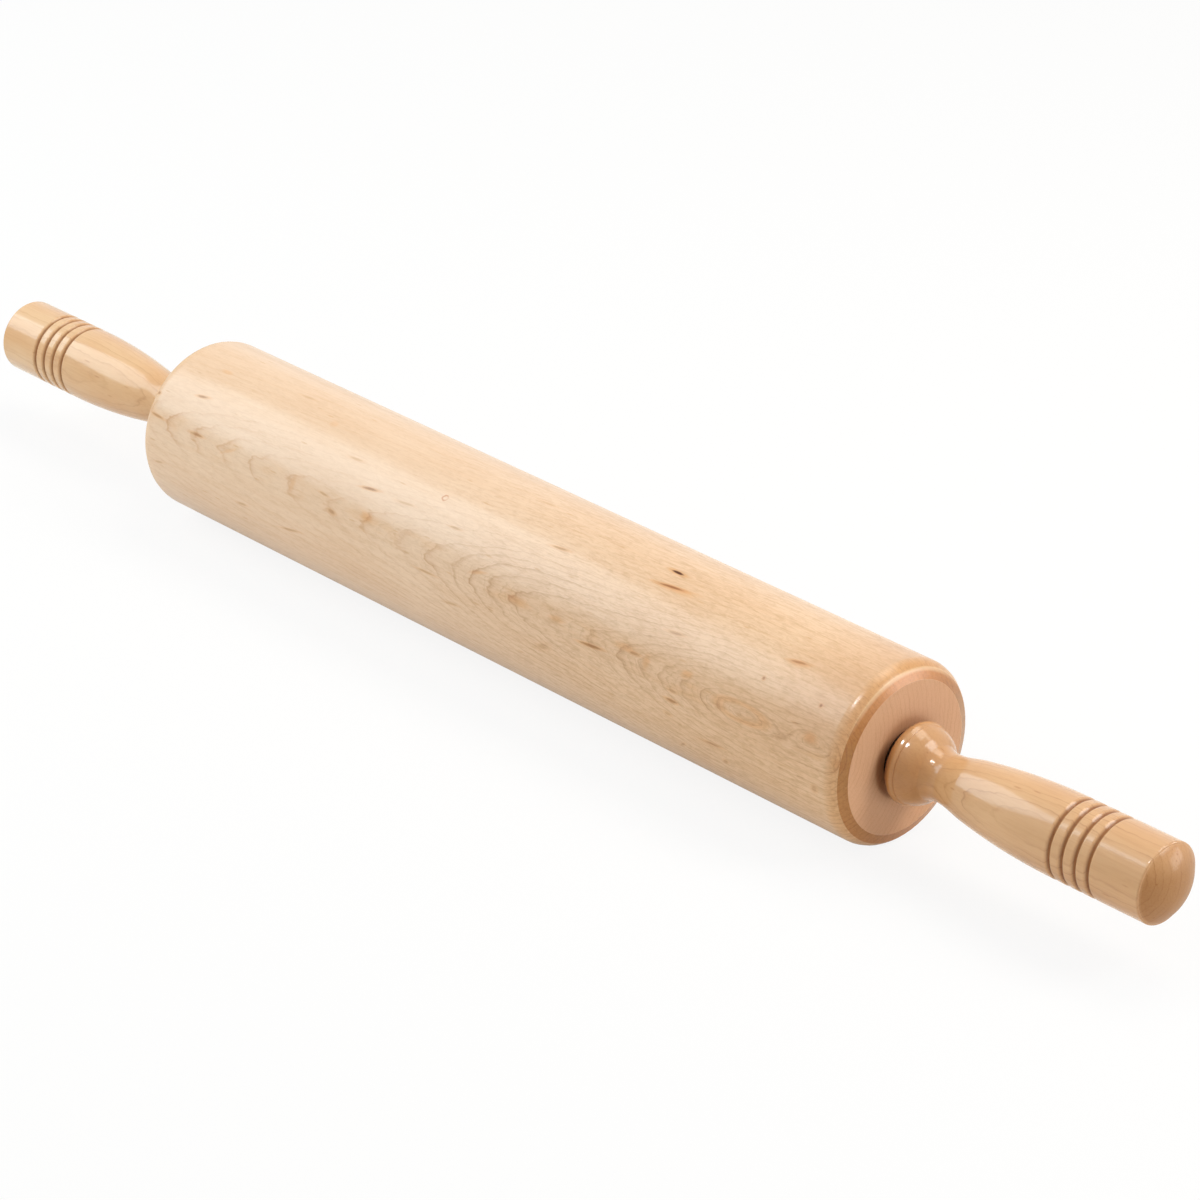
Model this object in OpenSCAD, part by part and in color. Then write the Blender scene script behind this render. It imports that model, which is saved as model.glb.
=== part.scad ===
// Rolling pin with a turned maple barrel that runs on two ball bearings.
// A steel rod passes through the barrel and carries a turned handle at each end.
// X runs along the rod, Z is up, and the origin is the middle of the barrel's axis.

/* [Barrel] */
// Diameter of the barrel
barrel_d = 70; // [56:1:90]
// Length of the barrel
barrel_l = 385; // [250:5:480]
// Radius of the rounded edge at each end
edge_r = 6.5; // [3:0.5:9]
// Angle that the edge turns through before the crease where its bevel starts
edge_turn = 49; // [30:1:60]
// Width of the bevel, measured along the radius, down to the flat end face
bevel_w = 3.8; // [3:0.1:6]
// Diameter of the long hole that clears the rod
rod_hole_d = 12; // [10:0.5:14]

/* [Handle] */
// Gap between the barrel's end face and the handle's collar
collar_gap = 2.6; // [1.6:0.1:4]
// Length of the handle from its collar face to the edge of its domed end
handle_l = 114.8; // [95:0.1:140]
// Largest diameter of the collar
collar_d = 31; // [28:0.5:38]
// Diameter of the neck behind the collar
neck_d = 18.3; // [17:0.1:24]
// Diameter of the grip
grip_d = 30.2; // [26:0.1:38]
// Height of the domed end
dome_h = 5.9; // [3:0.1:9]
// Number of turned grooves round the grip
groove_n = 4; // [1:1:6]
// Distance from one groove to the next
groove_pitch = 5.7; // [4:0.1:7]
// Width of a groove at the surface
groove_w = 3; // [1.5:0.1:3.8]
// Depth of a groove
groove_depth = 0.9; // [0.3:0.1:1.5]
// Plain length between the last groove and the domed end
plain_l = 19.9; // [12:0.1:26]

/* [Rod and threaded insert] */
// Diameter of the rod
rod_d = 8; // [6:0.1:9]
// Length of the threaded insert in the handle
insert_l = 16; // [10:0.1:20]
// Outer diameter of the insert's sleeve
insert_d = 12; // [11:0.1:14]
// Diameter of the insert's flange
insert_flange_d = 16; // [14:0.5:18]
// Thickness of the insert's flange
insert_flange_t = 1.2; // [0.8:0.1:2]
// Length of rod that stands past the insert
rod_past_insert = 5; // [2:0.5:8]

/* [Ball bearing] */
// Outer diameter of the bearing
bearing_d = 22; // [20:0.1:27]
// Width of the bearing
bearing_w = 7; // [6.6:0.1:9]
// Diameter of a ball
ball_d = 3.97; // [3:0.01:4.2]
// Number of balls in a bearing
ball_n = 7; // [5:1:8]
// Depth of the bearing's outer face below the barrel's end face
bearing_depth = 1; // [0.5:0.1:3]
// Thickness of a dust shield
shield_t = 0.3; // [0.2:0.05:0.5]

/* [Fits] */
// Radial clearance of pieces that slide onto the rod
rod_fit = 0.02; // [0.01:0.01:0.1]
// Radial clearance between a bearing and its seat in the barrel
seat_fit = 0.01; // [0.01:0.01:0.05]
// Radial clearance between a ball and its races
ball_fit = 0.05; // [0.02:0.01:0.1]
// Clearance between a ball and its pocket in the cage
pocket_fit = 0.12; // [0.05:0.01:0.25]
// Radial clearance between a shield and the inner race that turns past it
shield_fit = 0.2; // [0.1:0.05:0.4]

/* [Hidden] */

LEFT = -1;
RIGHT = 1;
ROUND = 96;
// How far a cutter runs past the face that it cuts
PAST = 1;
maple = "burlywood";
steel = "silver";
brass = "goldenrod";

barrel_r = barrel_d / 2;
barrel_half = barrel_l / 2;
edge_centre_x = barrel_half - edge_r;
edge_centre_r = barrel_r - edge_r;
crease_x = edge_centre_x + edge_r * sin(edge_turn);
crease_r = edge_centre_r + edge_r * cos(edge_turn);
end_face_r = crease_r - bevel_w;

rod_r = rod_d / 2;
sleeve_r = rod_r + rod_fit;
rod_reach = collar_gap + insert_l + rod_past_insert;
rod_chamfer = 0.8;

// The bearing's middle plane lies this far inside the barrel's end face.
bearing_mid = -bearing_depth - bearing_w / 2;
bearing_back = -bearing_depth - bearing_w;
bearing_r = bearing_d / 2;
pitch_r = (rod_r + bearing_r) / 2;
ball_r = ball_d / 2;
race_groove_r = ball_r + ball_fit;
race_chamfer = 0.4;
// Share of the ball's diameter from its centre to the lands beside the track
land_share = 0.36;
inner_land_r = pitch_r - land_share * ball_d;
outer_land_r = pitch_r + land_share * ball_d;

shield_seat_r = outer_land_r + 0.6;
shield_seat_depth = 0.8;
shield_dish = 0.25;
shield_front = bearing_w / 2 - 0.15;

cage_t = 1.5;
cage_ring_t = 0.4;
cage_back = -ball_r - pocket_fit - cage_ring_t;
cage_front = 0.3 * ball_d;
cage_slot_w = 1.1;
cage_slot_bottom = -0.15 * ball_d;

clip_t = 0.8;
clip_w = 1.5;
clip_gap_angle = 50;
clip_lug_r = 1.1;
clip_lug_angle = clip_gap_angle / 2 + 14;
clip_hole_r = 0.45;
clip_groove_depth = 0.3;
clip_groove_r = rod_r - clip_groove_depth;
clip_lug_centre_r = clip_groove_r + clip_w + 0.4 * clip_lug_r;
clip_side_play = 0.05;
relief_r = clip_lug_centre_r + clip_lug_r + 1.2;
relief_l = clip_t + 2.2;

spacer_flange_t = collar_gap / 2;
spacer_neck_r = inner_land_r - 0.4;

insert_r = insert_d / 2;
insert_flange_r = insert_flange_d / 2;
insert_barb = 0.45;
insert_barb_n = 4;
insert_fit = 0.02;

// Distances u along the handle count from the barrel's end face, outwards.
collar_r = collar_d / 2;
neck_r = neck_d / 2;
grip_r = grip_d / 2;
bead_r = 3.2;
bead_u = collar_gap + bead_r;
bead_start = 164;
bead_end = 58;
collar_face_step = 0.2;
collar_face_r = collar_r - bead_r + bead_r * sin(bead_start) - collar_face_step;
quirk_u = bead_u + 1.9;
quirk_r = collar_r - 0.75;
shoulder_u = quirk_u + 0.3;
shoulder_r = collar_r - 0.62;
shoulder_arc_r = 12;
cove_u = quirk_u + 7.3;
cove_r = neck_r + 1.2;
cove_slope = -0.5;
neck_u = collar_gap + 17.4;
taper_u = neck_u + 13;
taper_drop = 0.61 * (grip_r - neck_r);
handle_end_u = collar_gap + handle_l;
lip_r = 0.7;
groove_last_u = handle_end_u - lip_r - plain_l - groove_w / 2;
groove_first_u = groove_last_u - (groove_n - 1) * groove_pitch;
belly_lead = 0.8;
belly_u = groove_first_u - groove_w / 2 - belly_lead;
taper_slope = 2 * taper_drop / (belly_u - taper_u);
// Room round the rod, and past its end, in the handle's bore
rod_room = 0.3;
rod_end_room = 2;
bore_end_u = rod_reach + rod_end_room;

// Points of an arc about centre c, from angle a0 to angle a1.
function arc(c, r, a0, a1, n) = [
    for (i = [0:n])
        let (a = a0 + (a1 - a0) * i / n)
            [c[0] + r * cos(a), c[1] + r * sin(a)]
];

// Points of the bulging arc of radius r that joins p to q.
function arc_between(p, q, r, n) =
    let (
        half = norm(q - p) / 2,
        along = (q - p) / (2 * half),
        inward = [along[1], -along[0]],
        c = (p + q) / 2 + inward * sqrt(r * r - half * half),
        a0 = atan2(p[1] - c[1], p[0] - c[0]),
        a1 = atan2(q[1] - c[1], q[0] - c[0])
    )
    arc(c, r, a0, a1, n);

// Points of the smooth curve from p with slope m0 to q with slope m1.
function blend(p, m0, q, m1, n) = [
    for (i = [0:n])
        let (
            t = i / n,
            w = q[0] - p[0],
            h00 = 2 * pow(t, 3) - 3 * pow(t, 2) + 1,
            h10 = pow(t, 3) - 2 * pow(t, 2) + t,
            h01 = 3 * pow(t, 2) - 2 * pow(t, 3),
            h11 = pow(t, 3) - pow(t, 2)
        )
            [p[0] + w * t, h00 * p[1] + h10 * w * m0 + h01 * q[1] + h11 * w * m1]
];

// Points of a groove whose lips run smoothly into the grip.
function groove(u, n) = [
    for (i = [0:n])
        let (t = 2 * i / n - 1)
            [u + t * groove_w / 2, grip_r - groove_depth * (1 + cos(180 * t)) / 2]
];

// Points of the domed end, from its rounded lip to the axis.
function dome() =
    let (
        rim_r = grip_r - lip_r,
        dome_r = (rim_r * rim_r + dome_h * dome_h) / (2 * dome_h),
        c = [handle_end_u + dome_h - dome_r, 0],
        a0 = asin(rim_r / dome_r)
    )
    concat(
        arc([handle_end_u - lip_r, grip_r - lip_r], lip_r, 90, 30, 4),
        arc(c, dome_r, a0, 0, 14)
    );

// Outline of the handle as [u, radius] pairs, from the collar to the domed end.
function handle_outline() = concat(
    [[collar_gap, 0], [collar_gap, collar_face_r]],
    arc([bead_u, collar_r - bead_r], bead_r, bead_start, bead_end, 9),
    [[quirk_u, quirk_r]],
    arc_between([shoulder_u, shoulder_r], [cove_u, cove_r], shoulder_arc_r, 8),
    blend([cove_u, cove_r], cove_slope, [neck_u, neck_r], 0, 6),
    blend([neck_u, neck_r], 0, [taper_u, grip_r - taper_drop], taper_slope, 8),
    blend([taper_u, grip_r - taper_drop], taper_slope, [belly_u, grip_r], 0, 14),
    [for (k = [0:groove_n - 1]) each groove(groove_first_u + k * groove_pitch, 8)],
    dome()
);

// Turns [along, radius] pairs into a solid of revolution about Z.
module turned(points) {
    rotate_extrude($fn = ROUND)
        polygon([for (p = points) [p[1], p[0]]]);
}

// Lays a child that stands on Z along the rod, with its zero at a barrel end.
module at_end(side) {
    mirror([side == LEFT ? 1 : 0, 0, 0])
        translate([barrel_half, 0, 0])
            rotate([0, 90, 0])
                children();
}

// Puts a bearing piece at the middle plane of the bearing.
module at_bearing(side) {
    at_end(side)
        translate([0, 0, bearing_mid])
            children();
}

// Repeats a child at every ball's place.
module at_balls() {
    for (i = [0:ball_n - 1])
        rotate([0, 0, i * 360 / ball_n])
            translate([pitch_r, 0, 0])
                children();
}

// Outline of half the barrel, from its middle to its flat end face, with the rounded
// edge and the bevel between them.
module half_barrel_outline() {
    polygon([
        [0, 0],
        [barrel_r, 0],
        [barrel_r, edge_centre_x],
        [crease_r, crease_x],
        [end_face_r, barrel_half],
        [0, barrel_half]
    ]);
    intersection() {
        translate([edge_centre_r, edge_centre_x])
            circle(r = edge_r, $fn = ROUND);
        square([barrel_r + PAST, crease_x]);
    }
}

// Counterbore for a bearing, with a narrower relief behind it for the rod clip
module bearing_seat() {
    translate([0, 0, bearing_back])
        cylinder(r = bearing_r + seat_fit, h = PAST - bearing_back, $fn = ROUND);
    translate([0, 0, bearing_back - relief_l])
        cylinder(r = relief_r, h = relief_l + PAST, $fn = ROUND);
}

module barrel() {
    color(maple)
        difference() {
            rotate([0, 90, 0])
                rotate_extrude($fn = ROUND) {
                    half_barrel_outline();
                    mirror([0, 1, 0])
                        half_barrel_outline();
                }
            rotate([0, 90, 0])
                cylinder(d = rod_hole_d, h = barrel_l, center = true, $fn = ROUND);
            at_end(LEFT)
                bearing_seat();
            at_end(RIGHT)
                bearing_seat();
        }
}

// Ring that is cut out of the rod to seat a clip
module clip_groove() {
    groove_l = clip_t + clip_side_play;
    translate([0, 0, bearing_back - groove_l])
        difference() {
            cylinder(r = rod_r + PAST, h = groove_l, $fn = ROUND);
            translate([0, 0, -PAST])
                cylinder(r = clip_groove_r, h = groove_l + 2 * PAST, $fn = ROUND);
        }
}

module axle_rod() {
    half = barrel_half + rod_reach;
    color(steel)
        difference() {
            rotate([0, 90, 0])
                turned([
                    [-half, 0],
                    [-half, rod_r - rod_chamfer],
                    [-half + rod_chamfer, rod_r],
                    [half - rod_chamfer, rod_r],
                    [half, rod_r - rod_chamfer],
                    [half, 0]
                ]);
            at_end(LEFT)
                clip_groove();
            at_end(RIGHT)
                clip_groove();
        }
}

// Drills the collar to a depth below its face.
module drilled(r, depth) {
    translate([0, 0, collar_gap - PAST])
        cylinder(r = r, h = depth + PAST, $fn = ROUND);
}

module handle(side) {
    color(maple)
        at_end(side)
            difference() {
                turned(handle_outline());
                drilled(rod_r + rod_room, bore_end_u - collar_gap);
                drilled(insert_r + insert_fit, insert_l);
                drilled(insert_flange_r + insert_fit, insert_flange_t);
            }
}

// Threaded sleeve with barbed rings, held by its flange in the handle's collar.
module insert(side) {
    barb_l = (insert_l - insert_flange_t) / insert_barb_n;
    barb_start = collar_gap + insert_flange_t;
    barbs = [
        for (i = [0:insert_barb_n - 1])
            each [
                [barb_start + i * barb_l, insert_r],
                [barb_start + (i + 1) * barb_l, insert_r - insert_barb]
            ]
    ];
    color(brass)
        at_end(side)
            difference() {
                turned(concat(
                    [
                        [collar_gap, 0],
                        [collar_gap, insert_flange_r],
                        [barb_start, insert_flange_r]
                    ],
                    barbs,
                    [[collar_gap + insert_l, 0]]
                ));
                drilled(sleeve_r, insert_l + PAST);
            }
}

// Flanged bush that carries the handle's clamping load to the inner race.
module spacer(side) {
    color(steel)
        at_end(side)
            difference() {
                union() {
                    translate([0, 0, -bearing_depth])
                        cylinder(r = spacer_neck_r, h = bearing_depth + collar_gap, $fn = ROUND);
                    translate([0, 0, collar_gap - spacer_flange_t])
                        cylinder(r = insert_flange_r, h = spacer_flange_t, $fn = ROUND);
                }
                translate([0, 0, -bearing_depth - PAST])
                    cylinder(r = sleeve_r, h = bearing_depth + collar_gap + 2 * PAST, $fn = ROUND);
            }
}

// Open ring that snaps into the rod's groove behind the inner race.
module rod_clip(side) {
    through = clip_t + 2 * PAST;
    gap_l = 2 * relief_r;
    gap_half_w = gap_l * tan(clip_gap_angle / 2);
    color(steel)
        at_end(side)
            translate([0, 0, bearing_back - clip_t])
                difference() {
                    union() {
                        cylinder(r = clip_groove_r + clip_w, h = clip_t, $fn = ROUND);
                        for (s = [-1, 1])
                            rotate([0, 0, s * clip_lug_angle])
                                translate([clip_lug_centre_r, 0, 0])
                                    cylinder(r = clip_lug_r, h = clip_t, $fn = 48);
                    }
                    translate([0, 0, -PAST])
                        cylinder(r = clip_groove_r + rod_fit, h = through, $fn = ROUND);
                    translate([0, 0, -PAST])
                        linear_extrude(through)
                            polygon([[0, 0], [gap_l, gap_half_w], [gap_l, -gap_half_w]]);
                    for (s = [-1, 1])
                        rotate([0, 0, s * clip_lug_angle])
                            translate([clip_lug_centre_r, 0, -PAST])
                                cylinder(r = clip_hole_r, h = through, $fn = 24);
                }
}

// Ring between two radii with chamfered outer corners and a ball track.
module inner_race(side) {
    half = bearing_w / 2;
    color(steel)
        at_bearing(side)
            rotate_extrude($fn = ROUND)
                difference() {
                    polygon([
                        [sleeve_r + race_chamfer, -half],
                        [inner_land_r, -half],
                        [inner_land_r, half],
                        [sleeve_r + race_chamfer, half],
                        [sleeve_r, half - race_chamfer],
                        [sleeve_r, -half + race_chamfer]
                    ]);
                    translate([pitch_r, 0])
                        circle(r = race_groove_r, $fn = ROUND);
                }
}

// Outer ring with its ball track and a stepped seat for a shield on each face.
module outer_race(side) {
    half = bearing_w / 2;
    color(steel)
        at_bearing(side)
            rotate_extrude($fn = ROUND)
                difference() {
                    polygon([
                        [shield_seat_r, -half],
                        [bearing_r - race_chamfer, -half],
                        [bearing_r, -half + race_chamfer],
                        [bearing_r, half - race_chamfer],
                        [bearing_r - race_chamfer, half],
                        [shield_seat_r, half],
                        [shield_seat_r, half - shield_seat_depth],
                        [outer_land_r, half - shield_seat_depth],
                        [outer_land_r, -half + shield_seat_depth],
                        [shield_seat_r, -half + shield_seat_depth]
                    ]);
                    translate([pitch_r, 0])
                        circle(r = race_groove_r, $fn = ROUND);
                }
}

module balls(side) {
    color(steel)
        at_bearing(side)
            at_balls()
                sphere(r = ball_r, $fn = 48);
}

// Crown cage: a back ring with a pair of horns that hold each ball.
module cage(side) {
    cage_l = cage_front - cage_back;
    slot_l = cage_front - cage_slot_bottom + PAST;
    color(brass)
        at_bearing(side)
            difference() {
                translate([0, 0, cage_back])
                    cylinder(r = pitch_r + cage_t / 2, h = cage_l, $fn = ROUND);
                translate([0, 0, cage_back - PAST])
                    cylinder(r = pitch_r - cage_t / 2, h = cage_l + 2 * PAST, $fn = ROUND);
                at_balls()
                    sphere(r = ball_r + pocket_fit, $fn = 48);
                rotate([0, 0, 180 / ball_n])
                    at_balls()
                        translate([-cage_t, -cage_slot_w / 2, cage_slot_bottom])
                            cube([2 * cage_t, cage_slot_w, slot_l]);
            }
}

// Pressed steel disc, dished inwards, that snaps into the outer race.
module shield(side, face) {
    hole_r = inner_land_r + shield_fit;
    rim_r = shield_seat_r - seat_fit;
    bend_r = (hole_r + 2 * rim_r) / 3;
    top = shield_front;
    low = shield_front - shield_dish;
    color(steel)
        at_bearing(side)
            mirror([0, 0, face == "inner" ? 1 : 0])
                rotate_extrude($fn = ROUND)
                    polygon([
                        [hole_r, low - shield_t],
                        [bend_r, low - shield_t],
                        [bend_r + shield_dish, top - shield_t],
                        [rim_r, top - shield_t],
                        [rim_r, top],
                        [bend_r, top],
                        [bend_r - shield_dish, low],
                        [hole_r, low]
                    ]);
}

barrel();
axle_rod();

handle(LEFT);  // left_handle
insert(LEFT);  // left_insert
spacer(LEFT);  // left_spacer
rod_clip(LEFT);  // left_rod_clip
inner_race(LEFT);  // left_inner_race
outer_race(LEFT);  // left_outer_race
balls(LEFT);  // left_balls
cage(LEFT);  // left_cage
shield(LEFT, "outer");  // left_outer_shield
shield(LEFT, "inner");  // left_inner_shield

handle(RIGHT);  // right_handle
insert(RIGHT);  // right_insert
spacer(RIGHT);  // right_spacer
rod_clip(RIGHT);  // right_rod_clip
inner_race(RIGHT);  // right_inner_race
outer_race(RIGHT);  // right_outer_race
balls(RIGHT);  // right_balls
cage(RIGHT);  // right_cage
shield(RIGHT, "outer");  // right_outer_shield
shield(RIGHT, "inner");  // right_inner_shield
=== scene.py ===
"""Finishes a turned maple rolling pin that runs on ball bearings, and lights it in a small studio.

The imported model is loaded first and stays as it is. Each operator then gives one group of its pieces a finish,
and one operator makes the rod again with its clip grooves and threads.
"""

import math

import bmesh
import bpy
from mathutils import Matrix, Vector


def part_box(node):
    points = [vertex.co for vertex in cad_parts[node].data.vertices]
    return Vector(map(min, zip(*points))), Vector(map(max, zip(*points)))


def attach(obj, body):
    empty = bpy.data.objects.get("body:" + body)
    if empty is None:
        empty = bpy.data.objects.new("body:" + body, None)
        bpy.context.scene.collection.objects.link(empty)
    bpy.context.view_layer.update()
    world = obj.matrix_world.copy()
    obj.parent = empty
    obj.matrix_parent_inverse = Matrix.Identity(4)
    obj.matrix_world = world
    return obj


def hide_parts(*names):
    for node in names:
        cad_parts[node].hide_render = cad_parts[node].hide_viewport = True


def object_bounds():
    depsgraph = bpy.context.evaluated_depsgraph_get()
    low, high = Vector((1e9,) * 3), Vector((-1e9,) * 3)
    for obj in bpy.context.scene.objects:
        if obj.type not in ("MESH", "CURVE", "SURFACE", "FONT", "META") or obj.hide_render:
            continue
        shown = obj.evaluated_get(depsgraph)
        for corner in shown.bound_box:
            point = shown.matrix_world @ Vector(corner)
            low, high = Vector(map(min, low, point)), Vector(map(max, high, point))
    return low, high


bl_info = {
    "name": "Rolling Pin",
    "version": (1, 0, 0),
    "blender": (4, 5, 0),
    "location": "3D View > Sidebar > Rolling Pin",
    "description": "Finishes a turned maple rolling pin and sets up its studio",
    "category": "Object",
}

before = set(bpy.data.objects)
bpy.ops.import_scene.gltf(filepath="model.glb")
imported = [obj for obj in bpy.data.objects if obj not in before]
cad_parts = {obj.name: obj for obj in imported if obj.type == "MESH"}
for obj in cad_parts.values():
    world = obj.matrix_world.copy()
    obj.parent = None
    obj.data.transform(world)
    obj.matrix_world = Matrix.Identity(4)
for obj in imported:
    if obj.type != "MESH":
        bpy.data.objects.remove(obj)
CAD_BOX = [list(corner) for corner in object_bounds()]
SIDES = ("left", "right")

# The pin lies along x with its middle at the origin. These are places along x and radii, in metres.
HALF_BARREL, _, BARREL_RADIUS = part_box("barrel")[1]
BEVEL_HEIGHT = 0.0016
CREASE = HALF_BARREL - BEVEL_HEIGHT
HALF_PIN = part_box("right_handle")[1].x
HANDLE_LENGTH = HALF_PIN - HALF_BARREL
GRIP_RADIUS = 0.0151
HALF_ROD, _, ROD_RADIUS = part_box("axle_rod")[1]
COLLAR_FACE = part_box("right_insert")[0].x
CLIP_LOW, CLIP_HIGH = (corner.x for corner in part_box("right_rod_clip"))


def srgb(red, green, blue):
    """A colour named by its 0 to 255 screen values, as the linear values that shaders take."""
    def linear(value):
        value /= 255
        return value / 12.92 if value <= 0.04045 else ((value + 0.055) / 1.055) ** 2.4
    return (linear(red), linear(green), linear(blue))


def opaque(color):
    return (*color, 1.0)


class Nodes:
    """Builds a node tree by short calls. Each adds one node or a chain of them, and most return the output."""

    def __init__(self, tree):
        self.tree = tree
        tree.nodes.clear()

    def add(self, kind, inputs, **settings):
        """Adds a node and returns it. An input takes a value or another node's output."""
        node = self.tree.nodes.new("ShaderNode" + kind)
        for key, value in settings.items():
            setattr(node, key, value)
        for key, value in inputs.items():
            if isinstance(value, bpy.types.NodeSocket):
                self.tree.links.new(value, node.inputs[key])
            else:
                node.inputs[key].default_value = value
        return node

    def math(self, operation, *values):
        return self.add("Math", dict(enumerate(values)), operation=operation).outputs[0]

    def chain(self, operation, values):
        """Runs an operation of two values along several."""
        result, *others = values
        for value in others:
            result = self.math(operation, result, value)
        return result

    def product(self, *values):
        return self.chain("MULTIPLY", values)

    def most(self, *values):
        return self.chain("MAXIMUM", values)


class Recipe(Nodes):
    """A material's node tree, which knows the place on the piece and the stains of its own wood or metal."""

    def __init__(self, name, stains=None):
        self.material = bpy.data.materials.new(name)
        self.material.use_nodes = True
        super().__init__(self.material.node_tree)
        self.stains = stains or {}
        self.at = self.add("TexCoord", {}).outputs["Object"]
        self.x, self.y, self.z = self.add("SeparateXYZ", {0: self.at}).outputs
        self.along = self.math("ABSOLUTE", self.x)
        self.radius = self.vector("LENGTH", self.combine(0, self.y, self.z))

    def combine(self, x, y, z):
        return self.add("CombineXYZ", {0: x, 1: y, 2: z}).outputs[0]

    def vector(self, operation, *values):
        node = self.add("VectorMath", dict(enumerate(values)), operation=operation)
        scalar = operation in ("LENGTH", "DOT_PRODUCT")
        return node.outputs["Value" if scalar else "Vector"]

    def stretched(self, x, y, z):
        """The place on the piece, scaled apart along each axis, in features per metre."""
        return self.vector("MULTIPLY", self.at, (x, y, z))

    def span(self, value, low, high, start=0.0, end=1.0, kind="SMOOTHSTEP"):
        """Maps low..high to start..end and holds the ends."""
        inputs = {"Value": value, "From Min": low, "From Max": high, "To Min": start, "To Max": end}
        return self.add("MapRange", inputs, interpolation_type=kind).outputs["Result"]

    def span_mm(self, length, low, high, start=0.0, end=1.0, origin=0.0):
        """A span along a length, with low and high in millimetres from an origin in metres."""
        return self.span(length, origin + low / 1000, origin + high / 1000, start, end)

    def noise(self, at, detail=2.0, roughness=0.5, distortion=0.0):
        inputs = {"Vector": at, "Scale": 1.0, "Detail": detail, "Roughness": roughness, "Distortion": distortion}
        return self.add("TexNoise", inputs).outputs[0]

    def ramp(self, value, stops, kind="LINEAR"):
        """Colours or grey levels along a value; stops are (place, colour or level)."""
        node = self.add("ValToRGB", {0: value})
        node.color_ramp.interpolation = kind
        elements = node.color_ramp.elements
        for _ in range(len(stops) - len(elements)):
            elements.new(0.5)
        for element, (place, color) in zip(elements, sorted(stops)):
            element.position = place
            element.color = opaque(color if isinstance(color, tuple) else (color, color, color))
        return node.outputs[0]

    def mix(self, amount, under, over, mode="MIX"):
        inputs = {0: amount, 6: under, 7: over}
        return self.add("Mix", inputs, data_type="RGBA", blend_type=mode).outputs[2]

    def stained(self, color, **amounts):
        """Multiplies a colour by the recipe's stains in turn, each as far as its amount says."""
        for stain, amount in amounts.items():
            color = self.mix(amount, color, opaque(self.stains[stain]), "MULTIPLY")
        return color

    def bump(self, height, distance, strength=1.0):
        inputs = {"Height": height, "Distance": distance, "Strength": strength}
        return self.add("Bump", inputs).outputs[0]

    def finish(self, **inputs):
        shader = self.add("BsdfPrincipled", inputs)
        self.add("OutputMaterial", {0: shader.outputs[0]})
        return self.material


RING_PROFILE = (
    # share of a year's growth, darkness of the wood there
    (0.0, 0.45), (0.07, 0.0), (0.62, 0.0), (0.86, 0.26), (0.955, 1.0), (1.0, 0.6),
)


def from_pith(wood, pith, lean, bend_start, bend_length=0.05):
    """The place on the cross-section, seen from the tree's pith.

    Pith is its (y, z) at the middle and lean its slope, which ends past the bend.
    """
    run = wood.math("SMOOTH_MIN", wood.x, bend_start, bend_length)
    y = wood.math("SUBTRACT", wood.y, wood.math("MULTIPLY_ADD", run, lean[0], pith[0]))
    z = wood.math("SUBTRACT", wood.z, wood.math("MULTIPLY_ADD", run, lean[1], pith[1]))
    return wood.combine(0.0, y, z)


def growth_rings(wood, section, width, wander=0.7, ripple=0.8):
    """Distance from the pith in ring widths, less even where the tree grew unevenly."""
    slow = wood.noise(wood.stretched(20, 40, 40), 2.0, 0.55)
    quick = wood.noise(wood.stretched(110, 260, 260), 2.0, 0.6)
    rings = wood.math("DIVIDE", wood.vector("LENGTH", section), width)
    rings = wood.math("MULTIPLY_ADD", slow, wander, rings)
    rings = wood.math("MULTIPLY_ADD", quick, ripple, rings)
    return wood.math("SUBTRACT", rings, (wander + ripple) / 2)


def crown_figure(wood, section):
    """High where the surface lies along the rings, as at the tip of each arch."""
    outward = wood.vector("NORMALIZE", wood.combine(0.0, wood.y, wood.z))
    facing = wood.vector("DOT_PRODUCT", outward, wood.vector("NORMALIZE", section))
    return wood.math("ABSOLUTE", facing)


def ring_lines(wood, rings, faintest=0.45):
    """Thin dark lines where each year's growth stops, each with its own strength."""
    line = wood.ramp(wood.math("FRACT", rings), RING_PROFILE)
    year = wood.add("TexWhiteNoise", {"W": wood.math("FLOOR", rings)}, noise_dimensions="1D").outputs["Value"]
    strength = wood.span(year, 0.0, 1.0, faintest, 1.0, "LINEAR")
    patchy = wood.span(wood.noise(wood.stretched(30, 90, 90), 2.0), 0.34, 0.6, 0.5, 1.0)
    return wood.product(line, strength, patchy)


def flecks(wood, length, width, share):
    """Short dashes along the grain. Share is the part of the wood's cells that hold one."""
    at = wood.stretched(1 / length, 1 / width, 1 / width)
    cells = wood.add("TexVoronoi", {"Vector": at, "Scale": 1.0, "Randomness": 1.0}, feature="F1")
    chosen = wood.add("SeparateColor", {0: cells.outputs["Color"]}).outputs[0]
    near = wood.span(cells.outputs["Distance"], 0.1, 0.34, 1.0, 0.0)
    return wood.product(near, wood.math("LESS_THAN", chosen, share))


def mark(wood, x, angle, length, width, slant=0.0):
    """How far out of a natural mark on the barrel a place is, 1 at its edge.

    Lengths are in millimetres and angles in degrees, above the front or from the grain.
    """
    per_metre_deep = 150
    turn, slope = math.radians(angle), math.radians(slant)
    outward = Vector((0, -math.cos(turn), math.sin(turn)))
    around = Vector((0, math.sin(turn), math.cos(turn)))
    along = Vector((1, 0, 0))
    apart = wood.vector("SUBTRACT", wood.at, Vector((x / 1000, 0, 0)) + outward * BARREL_RADIUS)
    reach = wood.combine(
        wood.vector("DOT_PRODUCT", apart, (along * math.cos(slope) + around * math.sin(slope)) * 2000 / length),
        wood.vector("DOT_PRODUCT", apart, (around * math.cos(slope) - along * math.sin(slope)) * 2000 / width),
        wood.vector("DOT_PRODUCT", apart, outward * per_metre_deep))
    return wood.vector("LENGTH", reach)


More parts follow.
